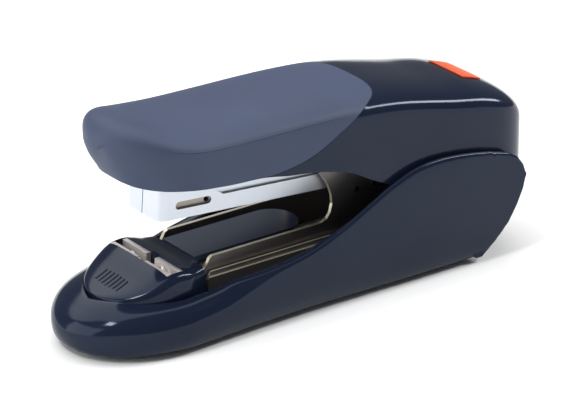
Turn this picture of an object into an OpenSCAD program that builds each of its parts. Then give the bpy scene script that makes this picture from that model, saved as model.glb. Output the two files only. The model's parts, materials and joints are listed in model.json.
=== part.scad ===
// Hand-held flat-clinch office stapler: glossy base and handle shells, soft grip pad,
// nested steel channels on one rear pivot pin, staple magazine, driver, pusher and clincher.
// Lengths are millimetres. The nose points to -X, the rear to +X, and +Z is up.

/* [Shells] */
// Wall thickness of the base and handle shells
shell_t = 1.6; // [1.3:0.1:1.8]
// Thickness of the soft grip pad
grip_t = 2; // [1.6:0.1:2.2]
// Play between the clinch block and the base round it
moat_gap = 0.7; // [0.5:0.1:1]

/* [Mechanism] */
// Radius of the main pivot pin
pin_r = 2; // [1.6:0.1:2.2]
// Radial clearance of every ear on that pin
pin_play = 0.05; // [0.03:0.01:0.08]
// Nose-up angle of the magazine at rest
mag_tilt = 4.2; // [3.8:0.1:4.6]
// Outer width of the magazine shell
mag_w = 12.2; // [12:0.1:12.4]
// Crown width of the staples that it takes
staple_w = 8.8; // [8.4:0.1:9]

/* [Finish] */
// Facets of a full turn on small rounds
round_fn = 32; // [24:4:48]

/* [Hidden] */

// The drawing datum: every X below is measured 2.6 mm ahead of the middle of the length.
datum_x = 2.6;
eps = 0.01;
slab = 0.3;

// Main pivot, shared by the magazine, the handle and the table frame
pivot_x = 46;
pivot_z = 23.5;

// Nested side layers, as half widths: magazine, handle frame, table frame, base frame
mag_out = mag_w / 2;
mag_t = 0.7;
channel_out = mag_out - mag_t;
channel_t = 0.6;
lever_in = mag_out + 0.4;
lever_out = lever_in + 0.8;
table_in = lever_out + 0.4;
table_out = table_in + 0.8;
frame_in = table_out + 0.4;
frame_out = frame_in + 1;

// Heights in the base, from the desk up
foot_h = 0.8;
cover_low = 0.6;
cover_top = 2.6;
frame_floor = 1;
table_floor_low = 8;
table_floor_top = 8.8;
frame_wall_top = 13.5;
table_wall_top = 16.5;
plate_top = 16;
plate_half_w = 5.7;

// The base outline: nose half ellipse, then hand-picked half widths
nose_tip = -54.3;
foot_tip = -53;
nose_c = -31;
base_wide = [[nose_c, 17.3], [-10, 16.9], [10, 17], [30, 17.3], [60, 17.2]];
base_foot = [[nose_c, 15.2], [-16, 14.3], [0, 14], [12, 14.4], [30, 14.8], [60, 14.8]];
// Height of the widest line, and of the top of each section
base_bulge = [[nose_tip, 4.4], [-40, 5.2], [-20, 8], [0, 12], [20, 16], [60, 16]];
base_top = [
    [nose_tip, 4.8], [-53.8, 6.3], [-52.6, 7.9], [-50, 9.7], [-48, 10.8], [-45, 11.7], [-40, 12.4],
    [-31, 13], [-20, 14.4], [-10, 17], [0, 21], [12, 27], [24, 31], [60, 32]
];
// Height of the underside: it lifts at the tip of the nose
base_under = [[nose_tip, 3.8], [-53.8, 2.4], [-53, 1.4], [-51, 1], [-40, 1], [60, 1]];
base_low = 1;
// The swoop of the rim in side view, front to rear, then down the rear edge
rim = [
    [-60, 30], [-40, 20], [-31, 14.4], [-22, 12.9], [-13, 13.5], [-3, 15.2], [5, 18.2],
    [12, 21.8], [18, 24.8], [24, 27], [30, 27.7], [37, 27.2], [44, 26], [49, 24.6]
];
rear_edge = [
    [51.6, 23.2], [53.2, 21.2], [54.1, 18.4], [53.2, 14.6], [51.6, 11],
    [49.8, 7.7], [47.6, 5], [45.8, 2.9], [43.5, base_low]
];
rear_wall_top = 6.6;

// The well in the base that the table works in: a half ellipse, then half widths
well_c = -34;
well_a = 12.5 + moat_gap;
well_b = 12 + moat_gap;
well_side = [[well_c, well_b], [-20, 13.4], [-6, 14.4], [4, 15.1], [10, 15.6], [70, 15.6]];

// The handle: nose half ellipse, straight sides, rear superellipse
handle_tip = -45.5;
handle_c = -27;
handle_b = 15.3;
handle_rear_b = 15.1;
handle_rear_c = 44;
handle_rear = 59.2;
handle_rear_n = 3;
handle_top = [
    [handle_tip, 44.2], [-45.2, 46], [-44.4, 47.7], [-43, 48.7], [-41, 48.9], [-38, 48.5],
    [-34, 47.5], [-30, 46.8], [-24, 46.3], [-12, 46], [0, 45.8], [8, 45.5], [16, 44.9],
    [22, 44.1], [28, 42.9], [36, 41.1], [44, 39.5], [48, 38.3], [52, 36.7], [55, 34.6],
    [57, 32], [58.3, 29], [59, 26], [handle_rear, 22]
];
crown = [[handle_tip, 1], [-44, 3.6], [-41, 5], [15, 5], [50, 5], [56, 4], [handle_rear, 3]];
crown_n = 2.8;
// Height of the widest line, and of two narrower ellipses under the beak
beak = [[43.5, handle_tip], [40, -44.6], [36, -43]];
// Lower edge of the grip, then of the glossy skirt behind it
grip_low = [
    [-45.8, 43], [-45.2, 40], [-44.4, 38], [-43.4, 36.6], [-41.8, 35.9], [-38, 35.6],
    [-33, 35.5], [-28, 35.2], [-22, 34.6], [-14, 34.1]
];
skirt_low = [
    [-8, 33], [0, 31.8], [8, 29.6], [13.6, 26.6], [18, 24.4], [26, 20],
    [36, 16], [46, 13.8], [56.4, 13.6]
];
// The join between grip and glossy cover in side view, from its foot to the crown
grip_seam = [
    [-9.2, 34.3], [-3.9, 35.1], [-0.4, 36.2], [2.8, 37.7], [7.2, 40.1], [10.8, 42.2],
    [14, 43.4], [17, 44], [19.4, 44.7], [20.6, 45.6], [21.2, 47], [21.4, 60]
];

// Magazine, measured from the pivot along the tilted magazine
mag_low = -3.3;
mag_front = -80;
nose_top = 6.4;
nose_len = 15;
shell_rear = -36;
shell_step = 0.2;
channel_top = 5;
rail_top = 1.3;
rod_z = 4;
driver_r = 79.1;
driver_t = 0.5;
driver_stroke = 6.2;

// ---------- helpers ----------

// Smooth curve through a table of [place, value] pairs
function span(t, x, i = 0) = i >= len(t) - 2 || x <= t[i + 1][0] ? i : span(t, x, i + 1);
function rise(t, i) =
    let (a = max(i - 1, 0), b = min(i + 1, len(t) - 1))
    (t[b][1] - t[a][1]) / (t[b][0] - t[a][0]);
function curve(t, x) =
    let (
        i = span(t, x),
        h = t[i + 1][0] - t[i][0],
        u = min(1, max(0, (x - t[i][0]) / h)),
        m = rise(t, i) * h,
        n = rise(t, i + 1) * h
    )
    (2 * u^3 - 3 * u^2 + 1) * t[i][1] + (u^3 - 2 * u^2 + u) * m
    + (3 * u^2 - 2 * u^3) * t[i + 1][1] + (u^3 - u^2) * n;
// Points along such a curve, for side profiles
function trace(t, step) =
    [for (x = [t[0][0] : step : t[len(t) - 1][0]]) [x, curve(t, x)]];
// One arm of a superellipse, 1 at 0 and 0 at 1
function arm(u, n) = pow(max(0, 1 - pow(min(1, abs(u)), n)), 1 / n);

// A thin section in the YZ plane at x, drawn as [y, z] points
module section(x, points)
    translate([x, 0, 0])
        rotate([90, 0, 90])
            linear_extrude(slab) polygon(points);

// A side profile in the XZ plane, as wide as asked and centred on Y
module side(points, width)
    translate([0, width / 2, 0])
        rotate([90, 0, 0])
            linear_extrude(width) polygon(points);

// The same profile as a pair of cheeks between two half widths
module cheeks(points, inner, outer)
    for (s = [-1, 1])
        translate([0, s > 0 ? outer : -inner, 0])
            rotate([90, 0, 0])
                linear_extrude(outer - inner) polygon(points);

// A round bar across the part
module bar_y(x, z, r, y0, y1)
    translate([x, y1, z])
        rotate([90, 0, 0]) cylinder(r = r, h = y1 - y0, $fn = 48);

// A tube swept along points, closed at both ends
module wire(points, r, sides) {
    n = len(points);
    rings = [
        for (i = [0 : n - 1])
            let (
                d = points[min(i + 1, n - 1)] - points[max(i - 1, 0)],
                f = d / norm(d),
                a = cross(f, abs(f.z) < 0.8 ? [0, 0, 1] : [1, 0, 0]),
                u = a / norm(a),
                v = cross(f, u)
            )
            for (k = [0 : sides - 1])
                points[i] + r * (cos(360 * k / sides) * u + sin(360 * k / sides) * v)
    ];
    walls = [
        for (i = [0 : n - 2], k = [0 : sides - 1], half = [0, 1])
            let (a = i * sides + k, b = i * sides + (k + 1) % sides)
            half == 0 ? [a, a + sides, b + sides] : [a, b + sides, b]
    ];
    ends = [
        [for (k = [0 : sides - 1]) k],
        [for (k = [sides - 1 : -1 : 0]) (n - 1) * sides + k]
    ];
    polyhedron(points = rings, faces = concat(walls, ends), convexity = 8);
}

// Places the drawing's datum so that the length is centred on X = 0
module placed() translate([-datum_x, 0, 0]) children();

// The magazine's own frame: its origin on the pivot, tilted nose up
module in_magazine()
    translate([pivot_x, 0, pivot_z])
        rotate([0, mag_tilt, 0]) children();

// ---------- base ----------

function base_shrink(x) =
    x < nose_c ? arm((nose_c - x) / (nose_c - nose_tip), 2.05) : 1;
function foot_shrink(x) =
    x < nose_c ? arm((nose_c - x) / (nose_c - foot_tip), 2.05) : 1;

// Half of a base section, from the foot up round the widest line to the middle of the top
function base_half(x, inset) =
    let (
        w = max(0.5, curve(base_wide, x) * base_shrink(x) - inset),
        f = max(0.3, min(w - 0.1, curve(base_foot, x) * foot_shrink(x) - inset)),
        zl = curve(base_under, x) - 3 * inset,
        zb = curve(base_bulge, x),
        zt = max(zb + 0.3, curve(base_top, x) - inset),
        n = x < -24 ? 2.6 : min(7, 2.6 + (x + 24) * 0.14)
    )
    concat(
        [for (a = [0 : 18 : 72]) [f + (w - f) * sin(a), zl + (zb - zl) * (1 - cos(a))]],
        [for (a = [0 : 10 : 80]) [w * pow(cos(a), 2 / n), zb + (zt - zb) * pow(sin(a), 2 / n)]]
    );
// Both sides of a section from one, with a narrow flat along the middle of the top
function mirrored(half) = concat(half, [for (i = [len(half) - 1 : -1 : 0]) [-half[i].x, half[i].y]]);

base_stations = concat(
    [for (a = [10 : 11 : 76]) nose_c - (nose_c - nose_tip) * cos(a)],
    [for (x = [nose_c : 7 : 57]) x]
);

module base_solid(inset)
    for (i = [0 : len(base_stations) - 2])
        hull() {
            section(base_stations[i], mirrored(base_half(base_stations[i], inset)));
            section(base_stations[i + 1], mirrored(base_half(base_stations[i + 1], inset)));
        }

// The side view of the base: flat foot, rear edge and swooping rim
rim_line = trace(rim, 3);
base_profile = concat(
    [[-60, base_low]],
    [for (i = [len(rear_edge) - 1 : -1 : 0]) rear_edge[i]],
    [for (i = [len(rim_line) - 1 : -1 : 0]) rim_line[i]]
);

function well_outline(grow) =
    let (
        nose = [for (a = [90 : 10 : 270]) [well_c + (well_a + grow) * cos(a), (well_b + grow) * sin(a)]],
        sides = [for (x = [-28 : 6 : 38]) [x, curve(well_side, x) + grow]]
    )
    concat(
        [for (i = [len(sides) - 1 : -1 : 0]) sides[i]],
        nose,
        [for (p = sides) [p.x, -p.y]]
    );

module base_shell()
    color("midnightblue") placed()
        difference() {
            intersection() {
                base_solid(0);
                side(base_profile, 40);
            }
            // the inside, open below, with a wall left round the well
            difference() {
                intersection() {
                    base_solid(shell_t);
                    side([[-51.6, -1], [42, -1], [52, 16], [49, 40], [-51.6, 40]], 40);
                }
                translate([0, 0, 5])
                    linear_extrude(20)
                        intersection() {
                            difference() {
                                polygon(well_outline(1.2));
                                polygon(well_outline(0));
                            }
                            translate([-60, -20]) square([38, 40]);
                        }
            }
            translate([0, 0, 3]) linear_extrude(40) polygon(well_outline(0));
            // the handle's rear wall drops in between the two sides
            translate([37.9, -well_side[4][1], rear_wall_top]) cube([30, 2 * well_side[4][1], 30]);
        }

// Plan of the bottom cover, a step inside the foot of the shell
function cover_half(x) = curve(base_foot, x) * foot_shrink(x) - shell_t - 0.2;
cover_plan = concat(
    [for (a = [0 : 15 : 90]) [nose_c - 19.8 * cos(a), cover_half(nose_c) * sin(a)]],
    [for (x = [-26 : 8 : 38]) [x, cover_half(x)]],
    [[40.6, cover_half(40)], [41.6, cover_half(40) - 1]]
);

module bottom_cover()
    color("dimgray") placed()
        difference() {
            translate([0, 0, cover_low])
                linear_extrude(cover_top - cover_low)
                    polygon(concat(cover_plan, [for (i = [len(cover_plan) - 1 : -1 : 1]) [cover_plan[i].x, -cover_plan[i].y]]));
            foot_pockets(0.05);
            for (x = screw_xs)
                translate([x, 0, -1]) cylinder(r = 1.2, h = 6, $fn = 32);
            for (x = screw_xs)
                translate([x, 0, -1]) cylinder(r = 2.4, h = 1 + cover_low + 0.9, $fn = 32);
        }

foot_len = 10;
foot_w = 19;
foot_xs = [-36, 30];
screw_xs = [-14, 16];
module foot_pad(x, grow)
    translate([x, 0, 0])
        linear_extrude(cover_low + foot_h + (grow > 0 ? grow : 0))
            offset(r = 3, $fn = round_fn)
                square([foot_len - 6 + 2 * grow, foot_w - 6 + 2 * grow], center = true);
module foot_pockets(grow)
    for (x = foot_xs) foot_pad(x, grow);
module front_foot() color("black") placed() foot_pad(foot_xs[0], 0);
module rear_foot() color("black") placed() foot_pad(foot_xs[1], 0);

// Two screws that clamp the bottom cover to the base frame
module base_screws()
    color("silver") placed()
        for (x = screw_xs)
            difference() {
                union() {
                    translate([x, 0, cover_low + 0.2]) cylinder(r = 2.2, h = 0.7, $fn = 32);
                    translate([x, 0, cover_low + 0.8]) cylinder(r = 1.1, h = 3.4, $fn = 32);
                }
                for (a = [0, 90])
                    translate([x, 0, cover_low + 0.2]) rotate(a) cube([2.4, 0.5, 0.8], center = true);
            }

// Outer steel channel, fixed to the base, with the two fixed ears
module base_frame()
    color("dimgray") placed()
        difference() {
            union() {
                cheeks([
                    [-24.5, cover_top], [42, cover_top], [44.5, 11.2], [51, pivot_z - 3], [50.5, pivot_z + 3],
                    [47.5, pivot_z + 5], [43, pivot_z + 5], [38, pivot_z - 1], [22, frame_wall_top + 1.5],
                    [16, frame_wall_top], [-23.4, frame_wall_top], [-24.5, 12]
                ], frame_in, frame_out);
                translate([-24.5, -frame_in - eps, cover_top])
                    cube([65.5, 2 * frame_in + 2 * eps, frame_floor]);
            }
            bar_y(pivot_x, pivot_z, pin_r + pin_play, -20, 20);
            for (x = screw_xs)
                translate([x, 0, 0]) cylinder(r = 1.12, h = 10, $fn = 32);
            // the front of each wall is coined to a step along its outer top edge
            for (s = [-1, 1])
                translate([-26, s > 0 ? frame_out - 0.5 : -frame_out - 1.5, frame_wall_top - 1]) cube([40, 2, 3]);
        }

module pivot_pin()
    color("silver") placed()
        union() {
            bar_y(pivot_x, pivot_z, pin_r, -frame_out - 0.05, frame_out + 0.05);
            for (s = [-1, 1])
                bar_y(pivot_x, pivot_z, pin_r + 1.1,
                    s > 0 ? frame_out + 0.05 : -frame_out - 0.75,
                    s > 0 ? frame_out + 0.75 : -frame_out - 0.05);
        }

// ---------- table ----------

clinch_x = -33;
wing_t = 0.8;
anvil_top = 16;
wing_pivot_y = 5.6;
wing_pivot_z = 12.4;
band_front = clinch_x - 2.1;
band_rear = clinch_x + 2.1;
band_half = 10.4;

// Stationary steel block that the wings tip against when the table goes down
module clincher_lifter()
    color("gray") placed()
        union() {
            translate([clinch_x - 4, -5, cover_top]) cube([9, 10, 1]);
            translate([clinch_x - 1.4, -2.2, cover_top]) cube([2.8, 4.4, 8]);
        }

module table_spring()
    color("silver") placed()
        translate([-21, 0, 0])
            wire([
                for (a = [0 : 24 : 3 * 360])
                    [2.6 * cos(a), 2.6 * sin(a), 3.95 + 3.7 * a / 1080]
            ], 0.3, 6);

// Coil that lifts the magazine off the table
module magazine_spring()
    color("silver") placed()
        translate([24, 0, 0])
            wire([
                for (a = [0 : 24 : 5 * 360])
                    [2.6 * cos(a), 2.6 * sin(a), table_floor_top + 0.4 + 11.9 * a / 1800]
            ], 0.3, 6);

// Inner steel channel that carries the table, with its ears on the pivot pin
module table_frame()
    color("gray") placed()
        difference() {
            union() {
                cheeks(concat([
                    [-25.2, table_floor_low], [28, table_floor_low], [44, pivot_z - 5.4],
                    [50, pivot_z - 3], [50.6, pivot_z + 2], [47.5, pivot_z + 4.6], [43, pivot_z + 5],
                    [26, 29.5], [8, 28.6], [5, 28],
                    [6, 26.9], [7.4, 24.6], [8.2, 22.2], [8.4, 20.2], [7.9, 18.2], [7, 17.1], [5.6, table_wall_top]
                ], [
                    [-22.4, table_wall_top], [-23, 16.2], [-24.2, 14.2], [-25.2, 13.7]
                ]), table_in, table_out);
                translate([-25.2, -table_in - eps, table_floor_low])
                    cube([52.8, 2 * table_in + 2 * eps, 0.8]);
                // tongue under the clinch block, open where the lifter comes up
                difference() {
                    translate([-42, -7, table_floor_low]) cube([17, 14, 0.8]);
                    translate([clinch_x - 2, -3.8, 0]) cube([4, 7.6, 20]);
                }
            }
            bar_y(pivot_x, pivot_z, pin_r + pin_play, -20, 20);
        }

// The clinch block's skin: front slope, crest over the band, then the run back to the plate
block_top = [
    [-47, 11.2], [-45, 11.9], [-42, 13], [-39, 14.4], [-36.5, 15.8], [-34.4, 16.6],
    [-32, 16.8], [-30, 16.5], [-27.5, plate_top], [-20, plate_top]
];
block_stations = concat(
    [for (a = [10 : 16 : 74]) well_c - 12.5 * cos(a)],
    [-33, -31, -29, -27.4, -25.6]
);
function block_half_w(x) = x < well_c ? 12 * arm((well_c - x) / 12.5, 2) : 12 - max(0, x + 30) * 0.35;
function block_section(x) =
    let (w = block_half_w(x), zt = curve(block_top, x), zs = max(9.4, zt - 6))
    mirrored(concat(
        [[w, table_floor_top + 0.05], [w, zs]],
        [for (a = [10 : 10 : 80]) [w * pow(cos(a), 0.34), zs + (zt - zs) * pow(sin(a), 0.34)]]
    ));

module clinch_cover()
    color("midnightblue") placed()
        difference() {
            for (i = [0 : len(block_stations) - 2])
                hull() {
                    section(block_stations[i], block_section(block_stations[i]));
                    section(block_stations[i + 1], block_section(block_stations[i + 1]));
                }
            // the band where the anvil plates and the wings show, and room below it for the lifter
            translate([band_front, 0, 0])
                rotate([90, 0, 90])
                    linear_extrude(band_rear - band_front)
                        polygon([
                            [-8, 0], [8, 0], [8, 9.6], [band_half, 9.6], [band_half, 30],
                            [-band_half, 30], [-band_half, 9.6], [-8, 9.6]
                        ]);
        }

// Paper table behind the block, with a half-round end and feet on the channel floor
module table_plate()
    color("midnightblue") placed()
        union() {
            translate([0, 0, plate_top - 1.2])
                linear_extrude(1.2) {
                    translate([-25.1, -plate_half_w]) square([23.8, 2 * plate_half_w]);
                    translate([-1.3, 0]) circle(r = plate_half_w, $fn = 40);
                }
            for (x = [-24, -14, -5])
                translate([x, -1.4, table_floor_top + 0.05]) cube([3, 2.8, plate_top - 0.5 - table_floor_top]);
        }

module anvil_plate(x0, x1)
    difference() {
        translate([x0, -band_half + 0.15, 9.6]) cube([x1 - x0, 2 * band_half - 0.3, anvil_top - 9.6]);
        translate([x0 - 1, -1.5, 13.4]) cube([x1 - x0 + 2, 3, 10]);
        translate([x0 - 1, -wing_pivot_y - 1.2, 0]) cube([x1 - x0 + 2, 2 * wing_pivot_y + 2.4, 10.6]);
        translate([x0 - 1, -2.6, 0]) cube([x1 - x0 + 2, 5.2, 12.6]);
        for (s = [-1, 1])
            bar_x(s * wing_pivot_y, wing_pivot_z, 0.6, x0 - 1, x1 + 1);
    }
module bar_x(y, z, r, x0, x1)
    translate([x0, y, z])
        rotate([0, 90, 0]) cylinder(r = r, h = x1 - x0, $fn = 32);

module anvil_front_plate() color("silver") placed() anvil_plate(band_front + 0.05, clinch_x - wing_t - 0.15);
module anvil_rear_plate() color("silver") placed() anvil_plate(clinch_x + wing_t + 0.15, band_rear - 0.05);

// Rivet heads on the cheeks of the table frame
module table_rivets()
    color("silver") placed()
        for (p = [[-24, 11.4], [14.6, 21.9], [19.3, 22.2]], s = [-1, 1])
            bar_y(p.x, p.y, 0.6, s > 0 ? table_out : -table_out - 0.2, s > 0 ? table_out + 0.2 : -table_out);

// One clincher wing: hinged near its leg hole, its inner end hanging low at rest
module wing(s)
    translate([s > 0 ? clinch_x - wing_t - 0.08 : clinch_x + 0.08, 0, 0])
        translate([0, s * wing_pivot_y, wing_pivot_z])
            rotate([s * 14, 0, 0])
                difference() {
                    rotate([90, 0, 90])
                        linear_extrude(wing_t)
                            polygon([
                                [s * 1.1, -1.1], [s * 1.1, 1.5], [s * 0.3, 3.2], [-s * 6.4, 3.2],
                                [-s * 6.4, -0.2], [-s * 3.4, -0.2], [-s * 2.6, -0.9]
                            ]);
                    bar_x(0, 0, 0.6, -1, wing_t + 1);
                }
module clincher_wing_left() color("lightgray") placed() wing(1);
module clincher_wing_right() color("lightgray") placed() wing(-1);
module clincher_pins()
    color("silver") placed()
        for (s = [-1, 1])
            bar_x(s * wing_pivot_y, wing_pivot_z, 0.55, band_front + 0.1, band_rear - 0.1);

// ---------- magazine ----------

module rounded_nose(half, r, rear)
    hull() {
        for (s = [-1, 1])
            translate([r, s * (half - r)]) circle(r = r, $fn = round_fn);
        translate([rear - 1, -half]) square([1, 2 * half]);
    }

// Bright outer shell: two folded flaps meet at the front, high nose, low sides behind
module magazine_shell()
    color("whitesmoke") placed() in_magazine()
        translate([mag_front, 0, mag_low])
            difference() {
                linear_extrude(nose_top - mag_low)
                    difference() {
                        rounded_nose(mag_out, 1.9, shell_rear - mag_front);
                        translate([mag_t, 0]) rounded_nose(channel_out, 1.3, shell_rear - mag_front + 2);
                        translate([-1, -0.12]) square([3, 0.24]);
                    }
                // side walls step down behind the nose
                translate([0, 0, 0])
                    side([
                        [nose_len - 1.4, 20], [nose_len - 1.4, 6.4], [nose_len - 0.6, 4.4],
                        [nose_len + 1, shell_step - mag_low], [60, shell_step - mag_low], [60, 20]
                    ], 30);
                // window for checking the staples
                for (s = [-1, 1]) {
                    translate([4.9, s > 0 ? 8 : -3, 2.9])
                        rotate([90, 0, 0]) {
                            cylinder(r = 0.85, h = 5, $fn = 32);
                            translate([7.2, 0, 0]) cylinder(r = 0.85, h = 5, $fn = 32);
                            translate([0, -0.85, 0]) cube([7.2, 1.7, 5]);
                        }
                }
            }

// Inner channel: open at the top, floor behind the staple slot, ears on the pivot pin
module magazine_channel()
    color("silver") placed() in_magazine()
        difference() {
            union() {
                cheeks([
                    [mag_front + 3.2, mag_low], [-3, mag_low], [2.6, -3], [4.2, 0], [2.6, 3.2],
                    [-1, 4.2], [-60, 4.6], [-64, channel_top], [mag_front + 3.2, channel_top]
                ], channel_out - channel_t, channel_out);
                translate([mag_front + 3.2, -channel_out + channel_t - eps, mag_low])
                    cube([-mag_front - 8, 2 * (channel_out - channel_t) + 2 * eps, 0.6]);
            }
            bar_y(0, 0, pin_r + pin_play, -20, 20);
            translate([mag_front + 4, -1.3, mag_low - 1]) cube([6, 2.6, 3]);
            // sight holes behind the rear ends of the shell's windows
            for (s = [-1, 1])
                translate([mag_front + 12.1, s > 0 ? 8 : -3, mag_low + 2.9])
                    rotate([90, 0, 0]) cylinder(r = 0.6, h = 5, $fn = 32);
        }

// Inverted channel that the staples sit astride
rail_half = staple_w / 2 - 0.65;
module staple_rail()
    color("silver") placed() in_magazine()
        difference() {
            translate([mag_front + 1.75, -rail_half, mag_low + 0.65])
                cube([55.4, 2 * rail_half, rail_top - mag_low - 0.65]);
            translate([mag_front + 1, -rail_half + 0.6, mag_low])
                cube([60, 2 * rail_half - 1.2, rail_top - 0.6 - mag_low]);
        }

module pusher_rod()
    color("silver") placed() in_magazine()
        translate([mag_front + 6.4, 0, rod_z])
            rotate([0, 90, 0]) cylinder(r = 0.75, h = 52.4, $fn = 32);

module rod_stop()
    color("gray") placed() in_magazine()
        difference() {
            translate([-22.6, -channel_out + channel_t + 0.02, mag_low + 0.6])
                cube([1.6, 2 * (channel_out - channel_t) - 0.04, 10]);
            translate([-23, 0, rod_z]) rotate([0, 90, 0]) cylinder(r = 0.77, h = 3, $fn = 32);
        }

module rod_clip()
    color("gray") placed() in_magazine()
        difference() {
            translate([mag_front + 4.6, -channel_out + channel_t + 0.02, rod_z - 1.6])
                cube([1.8, 2 * (channel_out - channel_t) - 0.04, 3.2]);
            translate([mag_front + 3, -1, rod_z - 0.2]) cube([2.2, 2, 3]);
        }

// Sprung steel tongue under the magazine that steadies the paper
module paper_guide()
    color("silver") placed() in_magazine()
        translate([-70, -2.6, mag_low - 0.4]) cube([24, 5.2, 0.4]);

// Slides on the rail and feeds the staples to the nose
pusher_x = mag_front + 7.6;
module pusher()
    color("black") placed() in_magazine()
        difference() {
            union() {
                translate([pusher_x, -rail_half - 0.62, rail_top + 0.06]) cube([9, 2 * rail_half + 1.24, 0.9]);
                for (s = [-1, 1])
                    translate([pusher_x, s > 0 ? rail_half + 0.06 : -rail_half - 0.62, mag_low + 0.8])
                        cube([9, 0.56, rail_top - mag_low - 0.4]);
                translate([pusher_x, -2.3, rail_top + 0.06]) cube([2.4, 4.6, 4.8]);
            }
            translate([pusher_x - 1, 0, rod_z]) rotate([0, 90, 0]) cylinder(r = 0.85, h = 5, $fn = 32);
        }

module pusher_spring()
    color("silver") placed() in_magazine()
        translate([pusher_x + 2.6, 0, rod_z])
            wire([
                for (a = [0 : 30 : 17 * 360])
                    [0.2 + 46.2 * a / 6120, 1.6 * cos(a), 1.6 * sin(a)]
            ], 0.22, 5);

// ---------- handle ----------

function nose_w(x, tip) = x < tip ? 0 : handle_b * arm((handle_c - x) / (handle_c - tip), 2);
function handle_half_w(x) =
    x < handle_c ? nose_w(x, handle_tip)
    : x > handle_rear_c ? handle_rear_b * arm((x - handle_rear_c) / (handle_rear - handle_rear_c), handle_rear_n)
    : handle_b + (handle_rear_b - handle_b) * (x - handle_c) / (handle_rear_c - handle_c);
function beak_w(x, i) = x < handle_c ? nose_w(x, beak[i][1]) : handle_half_w(x);

function handle_section(x, inset) =
    let (
        w = max(0.5, handle_half_w(x) - inset),
        zt = curve(handle_top, x) - inset,
        h = min(curve(crown, x), zt - 13)
    )
    mirrored(concat(
        [[max(0.2, beak_w(x, 2) - inset), x < handle_c + 1 ? 33 : 10]],
        [for (i = [2 : -1 : 1]) [max(0.3, beak_w(x, i) - inset), min(zt - 1, beak[i][0])]],
        [for (a = [0 : 10 : 80]) [w * pow(cos(a), 2 / crown_n), zt - h + h * pow(sin(a), 2 / crown_n)]]
    ));

handle_stations = concat(
    [for (a = [8 : 12 : 80]) handle_c - (handle_c - handle_tip) * cos(a)],
    [for (x = [-27 : 8 : 37]) x],
    [for (a = [0 : 13 : 78]) handle_rear_c + (handle_rear - handle_rear_c) * sin(a)]
);

// Depth below the outside: zero outside, then the grip, then the grip and the wall under it
outer_skin = [[-60, 0], [60, 0], [61, 0]];
grip_skin = [[-60, grip_t], [60, grip_t], [61, grip_t]];
core_skin = [[-60, grip_t + 0.03], [60, grip_t + 0.03], [61, grip_t + 0.03]];
inner_skin = [
    [-60, grip_t + shell_t], [20, grip_t + shell_t], [22, grip_t + shell_t],
    [27, shell_t], [28, shell_t], [61, shell_t]
];
module handle_solid(skin, first, last)
    for (i = [first : last])
        hull() {
            section(handle_stations[i], handle_section(handle_stations[i], curve(skin, handle_stations[i])));
            section(handle_stations[i + 1],
                handle_section(handle_stations[i + 1], curve(skin, handle_stations[i + 1])));
        }
all_stations = len(handle_stations) - 2;
grip_stations = 13;

// Side views of the two outer coverings of the handle
grip_profile = concat([[-60, 60], [-60, 43]], grip_low, grip_seam);
gloss_profile = concat([[-60, 60], [-60, 43]], grip_low, skirt_low, [[70, 13.6], [70, 60]]);

// Glossy cover: the outside of the rear half, and a core under the grip pad
module handle_cover()
    color("midnightblue") placed()
        difference() {
            intersection() {
                handle_solid(outer_skin, 0, all_stations);
                side(gloss_profile, 40);
            }
            difference() {
                side(grip_profile, 40);
                handle_solid(core_skin, 1, grip_stations);
            }
            difference() {
                handle_solid(inner_skin, 1, all_stations - 1);
                for (x = boss_xs)
                    translate([x - 2.45, -2.35, 20]) cube([4.9, 4.7, 30]);
            }
            // bosses stop on the handle frame
            in_magazine() translate([mag_front - 8, -10, -30]) cube([76, 20, 30 + lever_top + 0.02]);
            // blind screw holes, square to the frame under the bosses
            in_magazine()
                for (i = [0, 1])
                    translate([boss_xs[i] - pivot_x - 1.2, 0, 5])
                        cylinder(r = 0.9, h = lever_top - 5.72 + screw_lengths[i], $fn = 24);
        }

module grip_pad()
    color("slategray") placed()
        difference() {
            intersection() {
                handle_solid(outer_skin, 0, grip_stations);
                side(grip_profile, 40);
            }
            handle_solid(grip_skin, 1, grip_stations);
        }

boss_xs = [-18, 26];
lever_top = 13.6;
screw_lengths = [2.2, 3.6];

// Inner steel lever of the handle: an inverted channel that reaches from the pivot to the driver
module handle_frame()
    color("dimgray") placed() in_magazine()
        difference() {
            union() {
                cheeks([
                    [-79, 9.4], [-67, 9.4], [-65.4, 7], [-43, 5.6], [-38, 2.4], [-30, 0], [-12, -1.5],
                    [-4, -4.2], [2, -4], [4.4, 0],
                    [2.6, 4], [-4, 8], [-12, lever_top], [-79, lever_top]
                ], lever_in, lever_out);
                translate([-79, -lever_in - eps, lever_top - 0.8])
                    cube([67, 2 * lever_in + 2 * eps, 0.8]);
            }
            bar_y(0, 0, pin_r + pin_play, -20, 20);
            for (x = boss_xs)
                translate([x - pivot_x - 1.2, 0, 5]) cylinder(r = 0.9, h = 20, $fn = 24);
        }

// Arc-shaped blade, so that it slides in the nose as it turns about the pivot
blade_low = asin((mag_low + driver_stroke) / driver_r);
blade_high = asin(11.7 / driver_r);
module driver_arc(r0, r1, a0, a1, width)
    rotate([90, 0, 0])
        rotate([0, 0, 180 - a1])
            rotate_extrude(angle = a1 - a0, $fn = 240)
                translate([r0, -width / 2]) square([r1 - r0, width]);
module driver_blade()
    color("silver") placed() in_magazine()
        driver_arc(driver_r - driver_t, driver_r, blade_low, blade_high, staple_w - 0.4);
module driver_holder()
    color("gray") placed() in_magazine()
        union() {
            driver_arc(driver_r - driver_t - 0.8, driver_r - driver_t, blade_high - 2.6, blade_high + 0.7, 7);
            translate([-77.3, -3.2, 11.9]) cube([5, 6.4, lever_top - 0.8 - 11.9]);
        }
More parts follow.
